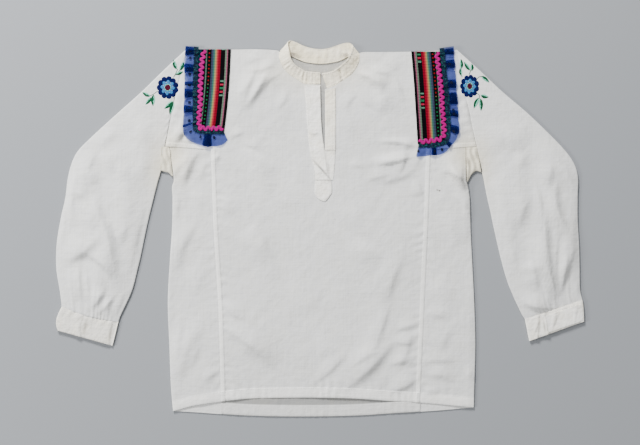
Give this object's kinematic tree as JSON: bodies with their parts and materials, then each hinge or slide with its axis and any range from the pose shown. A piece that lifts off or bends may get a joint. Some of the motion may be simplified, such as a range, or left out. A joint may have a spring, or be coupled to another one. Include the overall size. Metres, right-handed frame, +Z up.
{
  "type": "embroidered folk shirt",
  "caption": "White cotton folk shirt laid flat, with a stand collar, slit placket, gathered sleeves on cuffs, ribbon and ruffle shoulder trims and stitched flowers.",
  "frame": {"origin": "centre of the laid-out shirt's bounding box, at its underside on the surface it lies on", "axes": "+Z up from the surface, +Y towards the collar, +X towards the wearer's left sleeve; the front faces up"},
  "size_m": [1.0028, 0.714, 0.0124],
  "materials": {
    "cotton": "matte plain-weave cotton, softly creased",
    "band_cotton": "matte doubled cotton, slightly yellowed",
    "ribbon": "woven black ribbon with coloured stripes and small motifs",
    "ricrac": "bright pink woven zigzag braid",
    "organza": "sheer crisp blue organza, darker where it is doubled in pleats"
  },
  "bodies": {
    "root": {"back_panel": "cotton", "front_panel": "cotton", "side_panel_left": "cotton", "side_panel_right": "cotton", "gusset_left": "cotton", "gusset_right": "cotton", "sleeve_left": "cotton", "sleeve_right": "cotton", "cuff_left": "band_cotton", "cuff_right": "band_cotton", "collar": "band_cotton", "placket_under": "band_cotton", "placket_over": "band_cotton", "placket_point": "band_cotton", "ribbon_left": "ribbon", "ribbon_right": "ribbon", "ricrac_left": "ricrac", "ricrac_right": "ricrac", "ruffle_left": "organza", "ruffle_right": "organza"}
  },
  "joints": []
}
